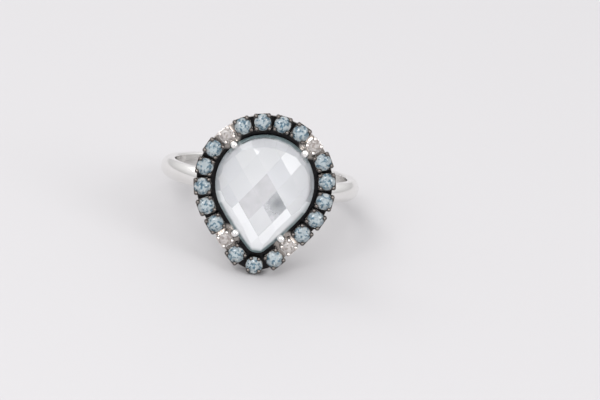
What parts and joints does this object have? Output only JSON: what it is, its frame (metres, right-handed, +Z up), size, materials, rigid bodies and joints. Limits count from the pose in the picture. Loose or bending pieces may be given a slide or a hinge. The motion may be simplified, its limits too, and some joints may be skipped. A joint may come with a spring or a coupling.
{
  "type": "cocktail ring",
  "caption": "Finger ring with a pear-shaped chequerboard-cut stone held by claws, inside a halo of small round stones in blackened box settings.",
  "frame": {"origin": "middle of the finger hole: on the hole's axis, half way along the band's width", "axes": "+Z up as the ring lies on a table, on the point of its head and the back of its band; -Y towards the head, whose face looks out along -Y and leans back; +X to the right of someone facing the head, square to the ring's plane of mirror symmetry"},
  "size_m": [0.0208, 0.0263, 0.0159],
  "materials": {
    "white_metal": "polished white precious metal, bright, with light wear on the band",
    "blackened_metal": "black-plated precious metal, polished, warm where the plating is thin on the prong tips",
    "clear_stone": "clear, very faintly blue gemstone, polished flat facets",
    "blue_stone": "pale ice-blue gemstone, brilliant cut",
    "white_stone": "colourless gemstone, brilliant cut, warm from its setting"
  },
  "bodies": {
    "root": {"band": "white_metal", "black_setting_01": "blackened_metal", "black_setting_02": "blackened_metal", "black_setting_04": "blackened_metal", "black_setting_05": "blackened_metal", "black_setting_06": "blackened_metal", "black_setting_07": "blackened_metal", "black_setting_08": "blackened_metal", "black_setting_10": "blackened_metal", "black_setting_11": "blackened_metal", "black_setting_12": "blackened_metal", "black_setting_13": "blackened_metal", "black_setting_15": "blackened_metal", "black_setting_16": "blackened_metal", "black_setting_17": "blackened_metal", "black_setting_18": "blackened_metal", "black_setting_19": "blackened_metal", "black_setting_21": "blackened_metal", "blue_stone_01": "blue_stone", "blue_stone_02": "blue_stone", "blue_stone_04": "blue_stone", "blue_stone_05": "blue_stone", "blue_stone_06": "blue_stone", "blue_stone_07": "blue_stone", "blue_stone_08": "blue_stone", "blue_stone_10": "blue_stone", "blue_stone_11": "blue_stone", "blue_stone_12": "blue_stone", "blue_stone_13": "blue_stone", "blue_stone_15": "blue_stone", "blue_stone_16": "blue_stone", "blue_stone_17": "blue_stone", "blue_stone_18": "blue_stone", "blue_stone_19": "blue_stone", "blue_stone_21": "blue_stone", "centre_seat": "blackened_metal", "centre_stone": "clear_stone", "claw_lower_left": "white_metal", "claw_lower_right": "white_metal", "claw_upper_left": "white_metal", "claw_upper_right": "white_metal", "gallery_base": "white_metal", "gallery_post_1": "white_metal", "gallery_post_2": "white_metal", "gallery_post_3": "white_metal", "gallery_post_4": "white_metal", "gallery_post_5": "white_metal", "gallery_post_6": "white_metal", "gallery_post_7": "white_metal", "gallery_post_8": "white_metal", "halo_rail": "blackened_metal", "white_setting_03": "white_metal", "white_setting_09": "white_metal", "white_setting_14": "white_metal", "white_setting_20": "white_metal", "white_stone_03": "white_stone", "white_stone_09": "white_stone", "white_stone_14": "white_stone", "white_stone_20": "white_stone"}
  },
  "joints": []
}
